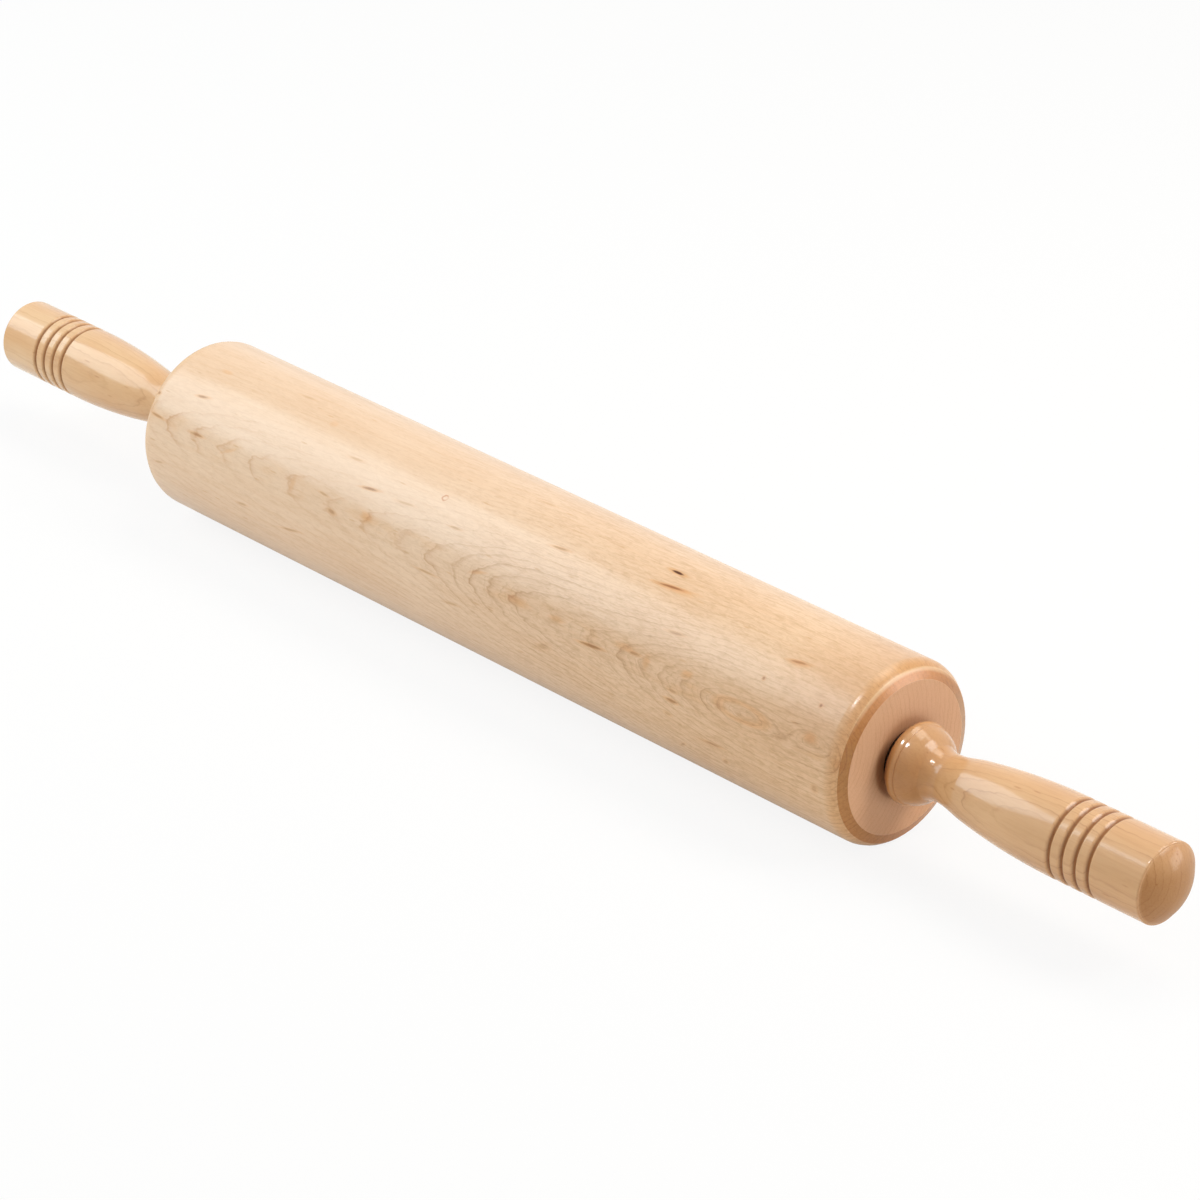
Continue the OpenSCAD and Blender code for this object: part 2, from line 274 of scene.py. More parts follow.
class BarrelWood(bpy.types.PropertyGroup):
    """Maple of the barrel."""

    cream: bpy.props.FloatVectorProperty(
        name="Cream", description="Colour of the wood between the rings", subtype="COLOR", min=0, max=1,
        default=srgb(240, 207, 175))
    ring_stain: bpy.props.FloatVectorProperty(
        name="Ring stain", description="What a ring line multiplies the wood by", subtype="COLOR",
        min=0, max=1, default=(0.66, 0.53, 0.40))
    end_grain: bpy.props.FloatVectorProperty(
        name="End grain", description="Colour of the bare end faces", subtype="COLOR", min=0, max=1,
        default=srgb(222, 176, 139))
    ring_width: bpy.props.FloatProperty(
        name="Ring width", description="One year's growth", subtype="DISTANCE", default=0.0022,
        min=0.0008, max=0.006)
    sheen_roughness: bpy.props.FloatProperty(
        name="Varnish roughness", description="Roughness of the satin varnish", default=0.23,
        min=0.05, max=0.8)


class HandleWood(bpy.types.PropertyGroup):
    """Maple of the handles."""

    honey: bpy.props.FloatVectorProperty(
        name="Honey", description="Colour of the varnished wood", subtype="COLOR", min=0, max=1,
        default=srgb(229, 187, 139))
    ring_stain: bpy.props.FloatVectorProperty(
        name="Ring stain", description="What a ring line multiplies the wood by", subtype="COLOR",
        min=0, max=1, default=(0.70, 0.55, 0.40))
    # the groove stain is gathered varnish and painted shade together
    groove_stain: bpy.props.FloatVectorProperty(
        name="Groove stain", description="What varnish pooled in a groove multiplies the wood by",
        subtype="COLOR", min=0, max=1, default=(0.43, 0.28, 0.12))
    ring_width: bpy.props.FloatProperty(
        name="Ring width", description="One year's growth", subtype="DISTANCE", default=0.0024,
        min=0.0008, max=0.006)
    gloss_roughness: bpy.props.FloatProperty(
        name="Varnish roughness", description="Roughness of the glossy varnish", default=0.13,
        min=0.03, max=0.8)


class Metals(bpy.types.PropertyGroup):
    """Metals of the rod, fittings and bearings."""

    steel: bpy.props.FloatVectorProperty(
        name="Steel", description="Colour of the turned steel", subtype="COLOR", min=0, max=1,
        default=srgb(198, 198, 194))
    chrome: bpy.props.FloatVectorProperty(
        name="Bearing steel", description="Colour of the polished balls and races", subtype="COLOR",
        min=0, max=1, default=srgb(222, 223, 224))
    brass: bpy.props.FloatVectorProperty(
        name="Brass", description="Colour of the inserts and cages", subtype="COLOR", min=0, max=1,
        default=srgb(222, 184, 106))
    # painted shade in part: the spacers' dark brown also stands in for the shade in the gap beside each collar
    bronze: bpy.props.FloatVectorProperty(
        name="Bronze", description="Colour of the oiled bronze spacers", subtype="COLOR", min=0, max=1,
        default=srgb(120, 80, 54))
    thread_pitch: bpy.props.FloatProperty(
        name="Thread pitch", description="Advance of the rod's thread in one turn", subtype="DISTANCE",
        default=0.00125, min=0.0007, max=0.002)
    thread_depth: bpy.props.FloatProperty(
        name="Thread depth", description="Height of the thread above its root", subtype="DISTANCE",
        default=0.0006, min=0.0003, max=0.001)


class Studio(bpy.types.PropertyGroup):
    """Camera, floor and room."""

    azimuth: bpy.props.FloatProperty(
        name="Azimuth", description="Camera's turn about the vertical", subtype="ANGLE",
        default=math.radians(46.3605))
    elevation: bpy.props.FloatProperty(
        name="Elevation", description="Camera's height angle", subtype="ANGLE",
        default=math.radians(27.3075))
    distance: bpy.props.FloatProperty(
        name="Distance", description="Camera's distance from the pin's middle", subtype="DISTANCE",
        default=1.62099)
    shift_right: bpy.props.FloatProperty(
        name="Step right", description="Camera's sideways step", subtype="DISTANCE", default=0.026558)
    shift_up: bpy.props.FloatProperty(
        name="Step up", description="Camera's upward step", subtype="DISTANCE", default=-0.009093)
    lens: bpy.props.FloatProperty(
        name="Lens", description="Focal length in millimetres", default=129.08, min=20, max=300)
    room_light: bpy.props.FloatProperty(
        name="Room light", description="Strength of the light from all round", default=0.48, min=0, max=2)
    floor_size: bpy.props.FloatProperty(
        name="Floor size", description="Half the width of the floor", subtype="DISTANCE", default=5.0,
        min=1, max=20)


BARREL_PITH = (-0.0570, 0.0225)
BARREL_LEAN = (0.0944, -0.0660)
BARREL_BEND = 0.14
BARREL_VARNISH = 0.80
MOST_SHIFT = 5.0
ARCH_SHIFT = (
    # millimetres along the barrel, rings by which the arches are moved there, at most MOST_SHIFT
    (-180, 0.0), (-150, -0.25), (-110, -0.30), (-75, 0.0), (-22, -0.05), (-6, -0.35),
    (8, -1.1), (24, -1.7), (60, -1.7), (82, -1.85), (104, -2.75), (126, -3.8),
)
OVALS = (
    # millimetres along, degrees above the front, length, height, rings inside
    (145, 19, 50, 17, 1.7),
    (178, 23, 28, 12, 1.5),
)
DASHES = (
    # millimetres along, degrees above the front, length, width, slant, strength
    (-165, 49.5, 7, 1.3, 9, 0.75),
    (-76, 56, 8, 1.2, 4, 0.30),
    (-61, 42.5, 9, 1.3, 8, 0.85),
    (-41, 44, 10, 1.2, 6, 0.30),
    (-13, 43.5, 7, 1.1, 3, 0.35),
    (-184, 25.5, 9, 1.1, -4, 0.55),
    (-159, 25.5, 8, 1.4, 2, 0.60),
    (-82, 27, 6, 1.0, -4, 0.38),
    (-75.5, 19, 5, 1.8, -6, 0.44),
    (-128, -5.5, 7, 1.3, 6, 0.32),
    (-99, -7, 13, 1.2, 10, 0.37),
    (-5, -2, 8, 1.1, 6, 0.35),
    (-20, 10.5, 11, 1.0, 1, 0.40),
    (-180, -5, 6, 1.2, 12, 0.30),
    (-188, 39.5, 2.5, 1.4, 0, 0.60),
    (88.5, 69, 14, 1.4, 7, 0.90),
    (35.5, 60.5, 9, 1.2, 6, 0.55),
    (157, 60, 9, 1.3, 9, 0.65),
    (104, 44, 8, 1.2, 5, 0.35),
    (69, 15, 12, 1.3, 5, 0.75),
    (111.5, 6, 6, 1.4, 0, 0.70),
    (111.5, 12, 5, 1.1, 0, 0.40),
    (110, -3.5, 4, 1.4, 0, 0.35),
    (132, -9.5, 10, 1.2, 5, 0.45),
    (137.5, -18.5, 3, 1.6, 20, 0.40),
    (115, -23, 4, 1.3, 38, 0.35),
    (90, 22.5, 6, 1.3, 4, 0.55),
    (182, -5, 3, 3, 0, 0.35),
    (148.2, 42.5, 1.5, 1.5, 0, 0.80),
    (175.7, 42.5, 1.5, 1.5, 0, 0.80),
    (45, 0, 8, 3, 20, 0.20),
    (-122, 83, 9, 1.5, 4, 0.20),
    (12, 88, 9, 1.5, 4, 0.20),
)
STREAKS = (
    # warm amber stain: millimetres along, degrees above the front, length, height, slant, strength
    (-165, 73, 9, 3, 3, 0.45),
    (-99, 72, 6, 5, 0, 0.30),
    (-57, 25.5, 9, 5.5, 0, 0.60),
    (-100, 24, 4, 9, 0, 0.40),
    (-139, 25, 14, 2.2, 26, 0.35),
    (6, 25, 12, 2.2, 16, 0.55),
    (30, 20, 16, 4.5, 0, 0.45),
    (50, 20.5, 11, 3.5, 5, 0.50),
    (85, 23.5, 16, 4, 5, 0.50),
    (96.5, 21, 5, 8, 0, 0.50),
    (116, 25, 8, 4, 15, 0.60),
    (177, 23.5, 9, 6, 0, 0.60),
    (92, 69, 26, 4.5, 5, 0.55),
    (157, 59, 14, 4, 8, 0.45),
)
PIT = (
    # the one near-black mark, in the order of a dash
    (85, 81, 7, 1.7, 0, 1.0),
)
AMBER_OVAL = (144.5, 19, 28, 7.5)
KNOT = (-26, 58, 3.3, 3.1)
BARREL_STAINS = {
    # what each layer multiplies the wood by, in the order of the layers
    "cloud": (0.95, 0.91, 0.86),
    "toward_right": (0.99, 0.945, 0.86),
    "low_right": (0.95, 0.92, 0.85),
    "streaky": (0.975, 0.95, 0.915),
    "feather": (0.90, 0.862, 0.81),
    "fibre": (0.87, 0.82, 0.755),
    "warm_ring": (0.81, 0.61, 0.43),
    "blotch": (0.97, 0.91, 0.82),
    "golden_end": (0.91, 0.85, 0.80),
    "fleck": (0.90, 0.82, 0.72),
    "amber_streak": (0.93, 0.70, 0.42),
    "dash_halo": (0.93, 0.76, 0.56),
    "dash": (0.47, 0.30, 0.05),
    "pit_halo": (0.93, 0.74, 0.50),
    "pit": (0.12, 0.045, 0.0),
    "amber_oval": (0.96, 0.78, 0.56),
    "knot": (0.72, 0.42, 0.26),
    "shoulder": (0.95, 0.855, 0.70),
    # painted shade on the top of the shoulder
    "shoulder_top": (1.0, 0.94, 0.77),
    "end_ring": (0.86, 0.76, 0.70),
    "fine_end_ring": (0.74, 0.62, 0.55),
    # painted shade on the end faces about the collar, wide and close
    "end_centre": (0.84, 0.74, 0.64),
    "by_collar": (0.50, 0.32, 0.18),
    "pore": (0.86, 0.80, 0.76),
}
BEVEL_STAINS = (
    # share of the barrel's height, what the bevel multiplies the wood by there: soaked end grain, with painted
    # light that makes it paler toward the top
    (0.0, (0.75, 0.55, 0.32)), (0.5, (0.59, 0.46, 0.25)), (0.66, (0.58, 0.44, 0.20)),
    (0.80, (0.70, 0.51, 0.26)), (0.91, (0.88, 0.67, 0.42)), (1.0, (0.96, 0.74, 0.50)),
)
# colour of the painted highlight along the crease
CREASE_TONE = (0.97, 0.74, 0.46)


def barrel_rings(wood, section, width):
    """The barrel's growth rings, moved along to where the arches lie, with two ovals."""
    rings = growth_rings(wood, section, width)
    stops = [(0.5 + x / 2000 / HALF_BARREL, 1.0 + moved / MOST_SHIFT) for x, moved in ARCH_SHIFT]
    shift = wood.ramp(wood.span(wood.x, -HALF_BARREL, HALF_BARREL, kind="LINEAR"), stops, "CARDINAL")
    rings = wood.math("MULTIPLY_ADD", shift, MOST_SHIFT, rings)
    for *place, inside in OVALS:
        bulge = wood.span(mark(wood, *place), 0.0, 1.0, -inside, 0.0)
        rings = wood.math("ADD", rings, bulge)
    return rings


def barrel_grain(wood, color, feather, fibre):
    """Broad tones, warmer toward the right, and fibres, coarser toward the right."""
    cloud = wood.noise(wood.stretched(9, 30, 30), 3.0, 0.55)
    streaky = wood.noise(wood.stretched(20, 420, 420), 2.0, 0.6)
    low_right = wood.product(wood.span_mm(wood.z, 12, -16), wood.span_mm(wood.x, -100, 150))
    coarse = wood.product(wood.span_mm(wood.x, -80, 100, 0.42, 1.0), wood.span_mm(wood.z, 18, 32, 1.0, 0.86))
    return wood.stained(
        color,
        cloud=wood.span(cloud, 0.3, 0.7),
        toward_right=wood.span_mm(wood.x, -30, 180),
        low_right=low_right,
        streaky=wood.span(streaky, 0.38, 0.68),
        feather=wood.product(wood.span(feather, 0.42, 0.66), coarse),
        fibre=wood.product(wood.span(fibre, 0.44, 0.68), coarse))


def barrel_figure(wood, color, section, lines, fine_lines):
    """Ring lines, pale and warm on the left and darker on the right, strongest at the arches' tips."""
    side = wood.math("GREATER_THAN", wood.radius, BARREL_RADIUS * 0.8)
    crown = wood.product(wood.span(crown_figure(wood, section), 0.93, 0.999), side)
    flank = wood.span_mm(wood.x, -100, 80, 0.35, 0.7)
    weight = wood.add("MapRange", {"Value": crown, "To Min": flank, "To Max": 0.92}).outputs[0]
    weight = wood.product(weight, wood.span_mm(wood.z, 22, 32, 1.0, 0.5))
    underside = wood.span_mm(wood.math("MULTIPLY_ADD", wood.x, 0.06, wood.z), -12, 4, 0.3, 1.0)
    fading = wood.product(underside, wood.span_mm(wood.z, 22, 33, 1.0, 0.2))
    fine_weight = wood.product(
        wood.span_mm(wood.x, -120, 100, 0.16, 0.7), wood.span(crown, 0.0, 0.9, 0.75, 1.0), fading)
    blotches = wood.noise(wood.stretched(60, 160, 160), 2.0)
    return wood.stained(
        color,
        warm_ring=wood.product(lines, wood.span_mm(wood.x, -70, 50, 0.85, 0.1), weight),
        ring=wood.product(lines, wood.product(weight, wood.span_mm(wood.x, -70, 30, 0.3, 1.0))),
        fine_ring=wood.product(fine_lines, fine_weight),
        blotch=wood.product(crown, wood.span(blotches, 0.48, 0.72)),
        golden_end=wood.product(wood.span_mm(wood.x, 145, 187), wood.span_mm(wood.z, 0, 22)),
        fleck=flecks(wood, 0.008, 0.0014, 0.05))


def barrel_marks(wood, color, feather):
    """The streaks, dashes, pit, amber oval and small knot. Also returns how far a place is in the pit."""
    frayed = wood.math("MULTIPLY_ADD", feather, 0.8, -0.4)

    def reached(marks):
        """How far out of each mark a place is, with a frayed edge, and the mark's strength."""
        return [(wood.math("ADD", mark(wood, *place), frayed), strength) for *place, strength in marks]

    def nearest(reaches, core, edge=1.05):
        """The strength of the nearest of several marks, whole in its core and none past its edge."""
        return wood.most(*(wood.span(reach, core, edge, strength, 0.0) for reach, strength in reaches))

    def outline(reach, inside, outside, strength):
        """A soft line about a mark, which rises and falls between the two pairs of reaches."""
        return wood.product(wood.span(reach, *inside, 0.0, strength), wood.span(reach, *outside, 1.0, 0.0))

    dashes = reached(DASHES)
    pit_reach = reached(PIT)
    in_pit = nearest(pit_reach, 0.5)
    knot = wood.math("ADD", mark(wood, *KNOT), frayed)
    knot_outline = wood.product(
        outline(knot, (0.35, 0.7), (0.8, 1.1), 0.8), wood.span_mm(wood.x, -26.3, -24.2, 1.0, 0.25))
    color = wood.stained(
        color,
        amber_streak=nearest(reached(STREAKS), 0.2),
        dash_halo=nearest(dashes, 0.7, 1.9),
        dash=nearest(dashes, 0.4),
        pit_halo=nearest(pit_reach, 0.7, 2.1),
        pit=in_pit,
        amber_oval=outline(mark(wood, *AMBER_OVAL), (0.45, 0.75), (0.85, 1.2), 0.55),
        knot=knot_outline)
    return color, in_pit


def barrel_edge(wood, color):
    """The golden shoulder with painted shade on its top, the bevel with painted light toward its top, and the
    pale line at the crease between them, which is a painted highlight.
    """
    shoulder = wood.span_mm(wood.along, -7.5, -2.5, origin=HALF_BARREL)
    # painted shade: the top of the shoulder is made darker and warmer
    shoulder_top = wood.product(shoulder, wood.span_mm(wood.z, 26, 34))
    color = wood.stained(color, shoulder=shoulder, shoulder_top=shoulder_top)
    bevel = wood.span_mm(wood.along, -0.15, 0.05, origin=CREASE)
    # painted light: the bevel's stain gets paler toward the top of the barrel
    height = wood.span(wood.z, -BARREL_RADIUS, BARREL_RADIUS, kind="LINEAR")
    color = wood.mix(bevel, color, wood.ramp(height, BEVEL_STAINS), "MULTIPLY")
    # painted highlight: a pale line along the crease, on the upper side only
    from_crease = wood.math("ABSOLUTE", wood.math("SUBTRACT", wood.along, CREASE))
    line = wood.product(wood.span_mm(from_crease, 0.1, 0.6, 0.45, 0.0), wood.span_mm(wood.z, 16, 30))
    return wood.mix(line, color, opaque(CREASE_TONE))


def barrel_end(wood, color, lines, fine_lines):
    """Bare end grain, with painted shade about the collar that hides its middle, deepest next to the collar and
    below it.
    """
    pores = wood.noise(wood.stretched(50, 2600, 2600), 2.0, 0.7)
    return wood.stained(
        color,
        end_ring=lines,
        fine_end_ring=fine_lines,
        # painted shade: the face darkens toward the collar, and more below it than above
        end_centre=wood.span_mm(wood.radius, 19, 14.5, 0.0, 0.5),
        by_collar=wood.product(
            wood.span_mm(wood.radius, 16.2, 14.0, 0.0, 0.85), wood.span_mm(wood.z, 2, 13, 1.0, 0.25)),
        pore=wood.span(pores, 0.45, 0.75, 0.0, 0.7))


def barrel_maple(settings):
    """Cream maple with cathedral rings along the front, satin varnish and bare end faces."""
    stains = {**BARREL_STAINS, "ring": settings.ring_stain, "fine_ring": settings.ring_stain}
    wood = Recipe("barrel_maple", stains)
    section = from_pith(wood, BARREL_PITH, BARREL_LEAN, BARREL_BEND)
    rings = barrel_rings(wood, section, settings.ring_width)
    lines = ring_lines(wood, rings)
    fine_lines = ring_lines(wood, wood.math("MULTIPLY_ADD", rings, 3.0, 0.4), 0.2)
    feather = wood.noise(wood.stretched(210, 620, 620), 3.0, 0.65, 0.8)
    fibre = wood.noise(wood.stretched(170, 1500, 1500), 3.0, 0.7, 0.5)

    color = barrel_grain(wood, opaque(settings.cream), feather, fibre)
    color = barrel_figure(wood, color, section, lines, fine_lines)
    color, in_pit = barrel_marks(wood, color, feather)
    color = barrel_edge(wood, color)
    face = wood.math("GREATER_THAN", wood.along, HALF_BARREL - 0.00006)
    color = wood.mix(face, color, barrel_end(wood, opaque(settings.end_grain), lines, fine_lines))

    grain = wood.math("MULTIPLY_ADD", feather, 0.8, fibre)
    dull = wood.most(wood.product(face, 0.925), in_pit)
    return wood.finish(**{
        "Base Color": color,
        "Roughness": 0.55,
        "Specular IOR Level": 0.25,
        "Coat Weight": wood.math("SUBTRACT", BARREL_VARNISH, wood.product(dull, BARREL_VARNISH)),
        "Coat Roughness": settings.sheen_roughness,
        "Coat IOR": 1.5,
        "Normal": wood.bump(grain, 0.00012, 0.35),
        "Coat Normal": wood.bump(grain, 0.00012, 0.2),
    })


HANDLE_PITHS = {
    # where the pith lies from the handle's axis and how it leans
    "left": ((-0.075, 0.012), (0.03, -0.05)),
    "right": ((-0.052, 0.022), (0.02, -0.015)),
}
HANDLE_STAINS = {
    # what each layer multiplies both handles' wood by
    "fibre": (0.92, 0.86, 0.80),
    "fleck": (0.82, 0.70, 0.58),
    # painted shadow on the back of the collar
    "collar_back": (0.36, 0.26, 0.16),
}
SIDE_STAINS = {
    "left": {"cloud": (0.94, 0.82, 0.68)},
    "right": {"cloud": (0.93, 0.87, 0.80), "outer_half": (0.93, 0.90, 0.87), "whole": (0.98, 0.92, 0.85)},
}
CUT_STAINS = (
    # millimetres past the barrel's end, what the cut across the grain multiplies the wood by there; the dark
    # stops beside the barrel and the dip at 7.7 mm are painted shade in the gap and the quirk
    (2.6, (0.46, 0.30, 0.14)),
    (4.6, (0.69, 0.53, 0.28)),
    (7.4, (0.71, 0.55, 0.29)),
    (7.7, (0.65, 0.48, 0.24)),
    (8.0, (0.71, 0.55, 0.29)),
    (14.0, (0.68, 0.52, 0.27)),
    (18.0, (0.83, 0.69, 0.44)),
    (24.0, (1.0, 1.0, 1.0)),
    (116.6, (1.0, 1.0, 1.0)),
    (118.0, (0.66, 0.55, 0.41)),
    (121.0, (0.64, 0.55, 0.43)),
)
GROOVES_START, GROOVES_END = 0.6, 0.82


def handle_maple(settings, side):
    """Honey maple under glossy varnish, darker where turning cut across the grain and in the grooves, with
    painted shade at the gap, in the quirk, behind the collar and in the grooves, and painted light on the top of
    the collar.
    """
    own = {"ring": settings.ring_stain, "groove": settings.groove_stain}
    wood = Recipe(f"{side}_handle_maple", {**HANDLE_STAINS, **SIDE_STAINS[side], **own})
    section = from_pith(wood, *HANDLE_PITHS[side], HALF_PIN)
    lines = ring_lines(wood, growth_rings(wood, section, settings.ring_width, 1.5, 0.8), 0.2)
    cloud = wood.noise(wood.stretched(14, 60, 60), 3.0, 0.55)
    fibre = wood.noise(wood.stretched(60, 1500, 1500), 2.0, 0.6)

    honey = opaque(settings.honey)
    color = wood.mix(wood.span(cloud, 0.3, 0.7), honey, wood.stained(honey, cloud=1.0))
    if side == "right":
        color = wood.stained(color, outer_half=wood.span_mm(wood.along, 50, 70, origin=HALF_BARREL), whole=1.0)
    color = wood.stained(
        color,
        fibre=wood.span(fibre, 0.42, 0.72, 0.0, 0.6),
        ring=wood.product(lines, wood.span_mm(wood.along, 14, 24, 0.2, 0.7, HALF_BARREL)),
        fleck=flecks(wood, 0.008, 0.0015, 0.05))

    place = wood.span(wood.along, HALF_BARREL, HALF_PIN, kind="LINEAR")
    cut = wood.ramp(place, [(distance / 1000 / HANDLE_LENGTH, stain) for distance, stain in CUT_STAINS])
    # painted light: the ramp is halved toward the top, standing in for a highlight there
    color = wood.mix(wood.span_mm(wood.z, 4, 14, 1.0, 0.5), color, cut, "MULTIPLY")
    # painted shadow on the back of the collar beside the gap, on its lower side
    collar_back = wood.product(
        wood.span_mm(wood.along, 4.5, 6.5, 0.8, 0.0, HALF_BARREL), wood.span_mm(wood.z, 4, 12, 1.0, 0.0))
    # varnish gathered in the grooves, darkened also as painted shade there
    pooled = wood.product(
        wood.math("GREATER_THAN", place, GROOVES_START), wood.math("LESS_THAN", place, GROOVES_END),
        wood.span_mm(wood.radius, -0.9, -0.1, 1.0, 0.0, GRIP_RADIUS))
    color = wood.stained(color, collar_back=collar_back, groove=pooled)

    return wood.finish(**{
        "Base Color": color,
        "Roughness": 0.5,
        "Specular IOR Level": 0.3,
        "Coat Weight": wood.product(
            wood.span_mm(wood.along, -6.4, -5.2, 1.0, 0.25, HALF_PIN), wood.span(pooled, 0.2, 1.0, 1.0, 0.4)),
        "Coat Roughness": settings.gloss_roughness,
        "Coat IOR": 1.5,
        "Normal": wood.bump(fibre, 0.00008, 0.15),
    })


METAL_STAINS = {"dull": (0.86, 0.85, 0.83)}


def turned_metal(name, color, roughness, line_spacing, line_depth=0.000004):
    """Metal with the fine rings that a lathe or grinder leaves. Their spacing and depth are in metres."""
    metal = Recipe(name, METAL_STAINS)
    rings = metal.combine(
        metal.math("DIVIDE", metal.x, line_spacing), metal.math("DIVIDE", metal.radius, line_spacing), 0.0)
    cuts = metal.noise(rings, 3.0, 0.7)
    dull = metal.span(metal.noise(metal.stretched(90, 220, 220), 3.0, 0.6), 0.35, 0.7, 0.0, 0.35)
    return metal.finish(**{
        "Base Color": metal.stained(opaque(color), dull=dull),
        "Metallic": 1.0,
        "Roughness": metal.span(cuts, 0.3, 0.7, roughness * 0.75, roughness * 1.3),
        "Normal": metal.bump(cuts, line_depth, 0.5),
    })


def dress(node, material):
    """Puts one material on every face of a kept CAD piece."""
    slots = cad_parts[node].material_slots
    for slot in slots:
        slot.material = material
    if not slots:
        raise RuntimeError(f"{node} has no material slot")


def dress_sides(finishes):
    """Dresses each named piece on both sides of the pin."""
    for side in SIDES:
        for piece, material in finishes.items():
            dress(f"{side}_{piece}", material)


def spun_shell(mesh, outline, steps):
    """Spins (x, radius) points about the pin's axis into a closed shell."""
    points = [mesh.verts.new((x, 0.0, radius)) for x, radius in outline]
    edges = [mesh.edges.new(pair) for pair in zip(points, points[1:])]
    bmesh.ops.spin(
        mesh, geom=points + edges, cent=(0, 0, 0), axis=(1, 0, 0), dvec=(0, 0, 0),
        angle=2 * math.pi, steps=steps, use_merge=True)


def helical_ridge(mesh, start, length, pitch, root, crest, steps):
    """Winds a thread's ridge about the pin's axis, closed at both ends, with so many steps in a turn."""
    flank = pitch * 0.44
    land = pitch * 0.07
    section = [(-flank, root), (-land, crest), (land, crest), (flank, root)]
    points = [mesh.verts.new((start + x, 0.0, radius)) for x, radius in section]
    edges = [mesh.edges.new(pair) for pair in zip(points, points[1:] + points[:1])]
    turns = length / pitch
    count = int(turns * steps)
    made = bmesh.ops.spin(
        mesh, geom=points + edges, cent=(0, 0, 0), axis=(1, 0, 0), dvec=(length / count, 0, 0),
        angle=2 * math.pi * turns, steps=count)
    last = [item for item in made["geom_last"] if isinstance(item, bmesh.types.BMVert)]
    for ring in (points, last):
        bmesh.ops.contextual_create(mesh, geom=ring)


def order_faces(mesh):
    """Numbers the faces by their corners, because a spin numbers them in another order each run."""
    mesh.verts.index_update()
    faces = sorted(mesh.faces, key=lambda face: sorted(corner.index for corner in face.verts))
    for index, face in enumerate(faces):
        face.index = index
    mesh.faces.sort()


def sharpen(mesh, angle):
    """Marks the edges that turn by more than an angle, so that smooth shading stops at them."""
    for edge in mesh.edges:
        if len(edge.link_faces) == 2 and edge.calc_face_angle() > angle:
            edge.smooth = False


def mesh_object(name, mesh, material):
    """Stores a bmesh as an object at the origin with one material."""
    data = bpy.data.meshes.new(name)
    mesh.to_mesh(data)
    mesh.free()
    data.materials.append(material)
    piece = bpy.data.objects.new(name, data)
    bpy.context.scene.collection.objects.link(piece)
    return piece


def new_piece(name, mesh, material, body):
    """Stores a bmesh as a smooth piece that rides on a body."""
    piece = mesh_object(name, mesh, material)
    for polygon in piece.data.polygons:
        polygon.use_smooth = True
    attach(piece, body)
    return piece


class ROLLPIN_OT_barrel(bpy.types.Operator):
    """Finish the barrel in satin maple with bare end grain"""

    bl_idname = "rollpin.barrel"
    bl_label = "Finish Barrel"

    def execute(self, context):
        dress("barrel", barrel_maple(context.scene.rollpin_barrel))
        return {"FINISHED"}


class ROLLPIN_OT_handles(bpy.types.Operator):
    """Finish both handles in glossy maple"""

    bl_idname = "rollpin.handles"
    bl_label = "Finish Handles"

    def execute(self, context):
        for side in SIDES:
            dress(f"{side}_handle", handle_maple(context.scene.rollpin_handle, side))
        return {"FINISHED"}


class ROLLPIN_OT_rod(bpy.types.Operator):
    """Make the steel rod with its clip grooves and threaded ends"""

    bl_idname = "rollpin.rod"
    bl_label = "Make Threaded Rod"

    def execute(self, context):
        metals = context.scene.rollpin_metals
        crest = ROD_RADIUS - 0.00003
        root = crest - metals.thread_depth
        buried = root - 0.00004
        chamfer = 0.0008
        runout = 0.0006
        clip_root = ROD_RADIUS - 0.0003
        clip_start = CLIP_LOW - 0.00005
        thread_start = COLLAR_FACE + 0.0008
        half = [
            (clip_start, ROD_RADIUS),
            (clip_start, clip_root),
            (CLIP_HIGH, clip_root),
            (CLIP_HIGH, ROD_RADIUS),
            (thread_start - runout, ROD_RADIUS),
            (thread_start, root),
            (HALF_ROD - chamfer / 2, root),
            (HALF_ROD, root - chamfer / 2),
            (HALF_ROD, 0.0),
        ]
        outline = [(-x, radius) for x, radius in reversed(half)] + half
        mesh = bmesh.new()
        spun_shell(mesh, outline, 64)
        length = HALF_ROD - chamfer - thread_start
        for start in (thread_start, -HALF_ROD + chamfer):
            helical_ridge(mesh, start, length, metals.thread_pitch, buried, crest, 28)
        bmesh.ops.remove_doubles(mesh, verts=mesh.verts, dist=1e-7)
        bmesh.ops.recalc_face_normals(mesh, faces=mesh.faces)
        order_faces(mesh)
        sharpen(mesh, math.radians(32))
        material = turned_metal("rod_steel", metals.steel, 0.26, 0.00018)
        rod = new_piece("threaded_rod", mesh, material, "handles_and_rod")
        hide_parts("axle_rod")
        return {"FINISHED"}


class ROLLPIN_OT_fittings(bpy.types.Operator):
    """Finish the inserts, spacers and rod clips"""

    bl_idname = "rollpin.fittings"
    bl_label = "Finish Fittings"

    def execute(self, context):
        metals = context.scene.rollpin_metals
        blued = tuple(0.45 * value for value in metals.steel)
        dress_sides({
            "insert": turned_metal("insert_brass", metals.brass, 0.30, 0.0002),
            # painted shade in part: the spacers are dark so that the gap beside each collar looks shaded
            "spacer": turned_metal("spacer_bronze", metals.bronze, 0.40, 0.00015),
            "rod_clip": turned_metal("spring_steel", blued, 0.38, 0.0003),
        })
        return {"FINISHED"}


class ROLLPIN_OT_bearings(bpy.types.Operator):
    """Finish the races, balls, cages and dust shields"""

    bl_idname = "rollpin.bearings"
    bl_label = "Finish Bearings"

    def execute(self, context):
        metals = context.scene.rollpin_metals
        ground = turned_metal("race_steel", metals.chrome, 0.16, 0.0001)
        pressed = turned_metal("shield_steel", metals.steel, 0.32, 0.00025)
        dress_sides({
            "inner_race": ground,
            "outer_race": ground,
            "balls": turned_metal("ball_chrome", metals.chrome, 0.06, 0.002, 0.000001),
            "cage": turned_metal("cage_brass", metals.brass, 0.34, 0.0003),
            "outer_shield": pressed,
            "inner_shield": pressed,
        })
        return {"FINISHED"}


